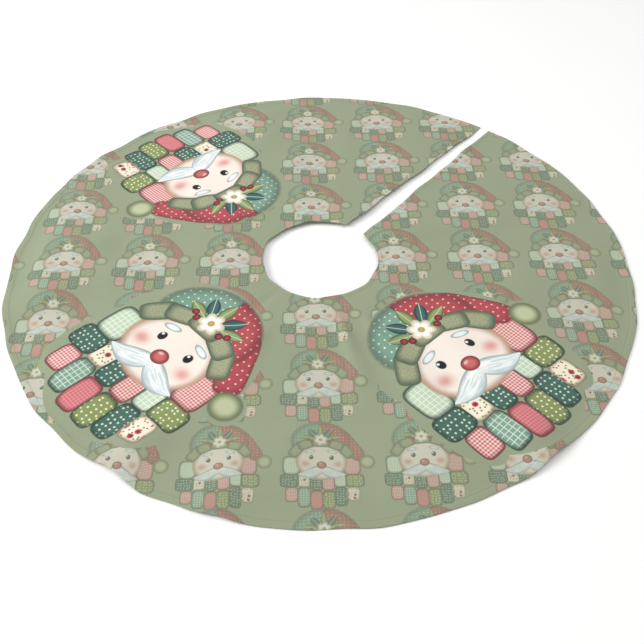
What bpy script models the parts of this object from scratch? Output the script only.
"""A round cloth tree skirt that lies flat on the floor round a tree's foot.

One disc of cloth has a hole for the trunk and a slit from the hole to the rim.
Its raw edges are turned under into hems, and a line of stitching holds each hem.
Beside the slit the cloth folds back along two straight creases, which opens the
skirt so that it can be laid round a trunk.

Metres and degrees, +Z up. The origin is on the floor in the middle of the trunk
hole, the slit points along +Y and the front of the skirt points along -Y.
"""

import math

import bmesh
import bpy

# Overall sizes
SKIRT_RADIUS = 0.5588
HOLE_RADIUS = 0.105
HOLE_RISE = 0.0065  # how much higher the cloth lies at the hole than at the rim

# The slit, from its middle line to each edge
SLIT_AT = 90.0
SLIT_HALF_AT_HOLE = 0.0214
SLIT_HALF_AT_RIM = 0.0093

# The creases that the flaps fold back along, from the slit's middle line
CREASE_SPREAD = 40.0

# Cloth, hems and stitching
CLOTH_THICKNESS = 0.0008
RIM_HEM_WIDTH = 0.014
HOLE_HEM_WIDTH = 0.010
SLIT_HEM_WIDTH = 0.010
RIM_STITCH_INSET = 0.012
HOLE_STITCH_INSET = 0.008
SLIT_STITCH_INSET = 0.008
THREAD_WIDTH = 0.0006
FIT_GAP = 0.0003  # between pieces that lie on each other or meet end to end

# Soft folds that lift the rim: direction, half width, lift, pull towards the middle
RIM_FOLDS = (
    (187.0, 6.5, 0.009, 0.001),
    (203.0, 7.0, 0.011, 0.001),
    (232.0, 6.5, 0.012, 0.002),
    (276.5, 6.0, 0.014, 0.009),
    (294.5, 4.0, 0.012, 0.004),
    (348.0, 6.5, 0.014, 0.002),
)
FOLD_REACH = 0.20  # how far a fold runs in from the rim

# Fineness of the mesh
MAIN_STEP = 2.5  # degrees between columns
FLAP_STEP = 3.5
PANEL_BANDS = 6  # rows of faces between the hems

# Worked out from the above
LEFT_CREASE = SLIT_AT + CREASE_SPREAD
RIGHT_CREASE = SLIT_AT - CREASE_SPREAD
FULL_TURN = 360.0
CLOTH_UNDER = CLOTH_THICKNESS + FIT_GAP  # height of the cloth's underside over a hem's
THREAD_UNDER = CLOTH_UNDER + CLOTH_THICKNESS + FIT_GAP

CLOTH_GREEN = (0.30, 0.34, 0.21)  # the printed side, which a hem turns towards the floor
HEM_GREEN = (0.27, 0.31, 0.19)
THREAD_GREEN = (0.22, 0.26, 0.15)


def clear_scene():
    for thing in list(bpy.data.objects):
        bpy.data.objects.remove(thing, do_unlink=True)


def smooth_step(value):
    value = min(max(value, 0.0), 1.0)
    return value * value * (3.0 - 2.0 * value)


def degrees_across(width, radius):
    """The angle that a straight width takes up at a radius."""
    return math.degrees(math.asin(width / radius))


def slit_edge(radius):
    """The angle from the slit's middle line to its edge."""
    along = (radius - HOLE_RADIUS) / (SKIRT_RADIUS - HOLE_RADIUS)
    half = SLIT_HALF_AT_HOLE + (SLIT_HALF_AT_RIM - SLIT_HALF_AT_HOLE) * along
    return degrees_across(half, radius)


def fold_share(fold, angle, radius):
    """How much of a rim fold's lift there is at a place, from 0 to 1."""
    direction, half_width = fold[:2]
    away = abs((angle - direction + FULL_TURN / 2) % FULL_TURN - FULL_TURN / 2)
    if away >= half_width:
        return 0.0
    crest = math.cos(math.pi / 2 * away / half_width) ** 2
    return crest * smooth_step(1.0 - (SKIRT_RADIUS - radius) / FOLD_REACH)


def lie(radius, angle, height):
    """A point of the skirt as it lies, at a height over the hems' underside."""
    flat_from = SKIRT_RADIUS - RIM_HEM_WIDTH
    rise = HOLE_RISE * max(0.0, (flat_from - radius) / (flat_from - HOLE_RADIUS))
    pull = 0.0
    for fold in RIM_FOLDS:
        share = fold_share(fold, angle, radius)
        rise += fold[2] * share
        pull += fold[3] * share
    turn = math.radians(angle)
    reach = radius - pull
    return reach * math.cos(turn), reach * math.sin(turn), rise + height


# Each span gives the first and last angle of a sector at a radius.
def main_span(radius):
    gap = degrees_across(FIT_GAP / 2, radius)
    return LEFT_CREASE + gap, RIGHT_CREASE + FULL_TURN - gap


def left_span(radius):
    gap = degrees_across(FIT_GAP / 2, radius)
    return SLIT_AT + slit_edge(radius), LEFT_CREASE - gap


def right_span(radius):
    gap = degrees_across(FIT_GAP / 2, radius)
    return RIGHT_CREASE + gap, SLIT_AT - slit_edge(radius)


def beside_slit(span, inset, width):
    """The span of a band along a flap's slit edge, from inset to inset plus width."""
    def band(radius):
        near = degrees_across(inset, radius)
        far = degrees_across(inset + width, radius)
        if span is left_span:
            edge = span(radius)[0]
            return edge + near, edge + far
        edge = span(radius)[1]
        return edge - far, edge - near
    return band


def short_of_slit(span, inset):
    """The span of a flap's band that stops at an inset from its slit edge."""
    def band(radius):
        first, last = span(radius)
        short = degrees_across(inset, radius)
        if span is left_span:
            return first + short, last
        return first, last - short
    return band


def evenly(first, last, parts):
    return [first + (last - first) * i / parts for i in range(parts + 1)]


def material(name, colour, roughness):
    made = bpy.data.materials.new(name)
    made.use_nodes = True
    shader = made.node_tree.nodes["Principled BSDF"]
    shader.inputs["Base Color"].default_value = (*colour, 1.0)
    shader.inputs["Roughness"].default_value = roughness
    shader.inputs["Metallic"].default_value = 0.0
    return made


def strip(name, span, radii, columns, height, thickness, colour):
    """A closed strip that follows the skirt's lie over a span of angles."""
    mesh = bmesh.new()
    rows = len(radii) - 1
    bmesh.ops.create_grid(mesh, x_segments=columns, y_segments=rows, size=0.5)
    for vert in mesh.verts:
        radius = radii[round((vert.co.y + 0.5) * rows)]
        first, last = span(radius)
        vert.co = lie(radius, first + (last - first) * (vert.co.x + 0.5), height)
    raised = bmesh.ops.extrude_face_region(mesh, geom=mesh.faces[:], use_keep_orig=True)
    top = [part for part in raised["geom"] if isinstance(part, bmesh.types.BMVert)]
    bmesh.ops.translate(mesh, verts=top, vec=(0.0, 0.0, thickness))
    bmesh.ops.recalc_face_normals(mesh, faces=mesh.faces[:])
    data = bpy.data.meshes.new(name)
    mesh.to_mesh(data)
    mesh.free()
    data.materials.append(material(name, colour, 0.85))
    made = bpy.data.objects.new(name, data)
    bpy.context.collection.objects.link(made)
    return made


def cloth(side, span, columns):
    """The sector of the disc of cloth that belongs to one side of the skirt."""
    radii = [HOLE_RADIUS]
    radii += evenly(HOLE_RADIUS + HOLE_HEM_WIDTH, SKIRT_RADIUS - RIM_HEM_WIDTH, PANEL_BANDS)
    radii += [SKIRT_RADIUS]
    strip("cloth_" + side, span, radii, columns, CLOTH_UNDER, CLOTH_THICKNESS, CLOTH_GREEN)


def hems(side, span, columns):
    """The turned-under edges at the rim and at the trunk hole."""
    rim = [SKIRT_RADIUS - RIM_HEM_WIDTH, SKIRT_RADIUS]
    hole = [HOLE_RADIUS, HOLE_RADIUS + HOLE_HEM_WIDTH]
    strip("rim_hem_" + side, span, rim, columns, 0.0, CLOTH_THICKNESS, HEM_GREEN)
    strip("hole_hem_" + side, span, hole, columns // 2, 0.0, CLOTH_THICKNESS, HEM_GREEN)


def thread_band(middle):
    return [middle - THREAD_WIDTH / 2, middle + THREAD_WIDTH / 2]


def stitching(side, span, columns):
    """The lines of thread that hold the rim hem and the hole hem."""
    rim = thread_band(SKIRT_RADIUS - RIM_STITCH_INSET)
    hole = thread_band(HOLE_RADIUS + HOLE_STITCH_INSET)
    strip("rim_stitch_" + side, span, rim, columns, THREAD_UNDER, THREAD_WIDTH, THREAD_GREEN)
    strip("hole_stitch_" + side, span, hole, columns // 2, THREAD_UNDER, THREAD_WIDTH,
          THREAD_GREEN)


def slit_edging(side, span):
    """The turned-under edge along the slit and the thread that holds it."""
    hem = [HOLE_RADIUS + HOLE_HEM_WIDTH + FIT_GAP, SKIRT_RADIUS - RIM_HEM_WIDTH - FIT_GAP]
    strip("slit_hem_" + side, beside_slit(span, 0.0, SLIT_HEM_WIDTH),
          evenly(*hem, PANEL_BANDS), 1, 0.0, CLOTH_THICKNESS, HEM_GREEN)
    clear = THREAD_WIDTH / 2 + FIT_GAP
    line = [HOLE_RADIUS + HOLE_STITCH_INSET + clear, SKIRT_RADIUS - RIM_STITCH_INSET - clear]
    strip("slit_stitch_" + side, beside_slit(span, SLIT_STITCH_INSET, THREAD_WIDTH),
          evenly(*line, PANEL_BANDS), 1, THREAD_UNDER, THREAD_WIDTH, THREAD_GREEN)


def columns_in(span, step):
    first, last = span(SKIRT_RADIUS)
    return 2 * round((last - first) / step / 2)


def main():
    clear_scene()
    columns = columns_in(main_span, MAIN_STEP)
    cloth("main", main_span, columns)
    hems("main", main_span, columns)
    stitching("main", main_span, columns)
    for side, span in (("left_flap", left_span), ("right_flap", right_span)):
        columns = columns_in(span, FLAP_STEP)
        cloth(side, span, columns)
        hems(side, span, columns)
        stitching(side, short_of_slit(span, SLIT_STITCH_INSET), columns)
        slit_edging(side, span)


main()
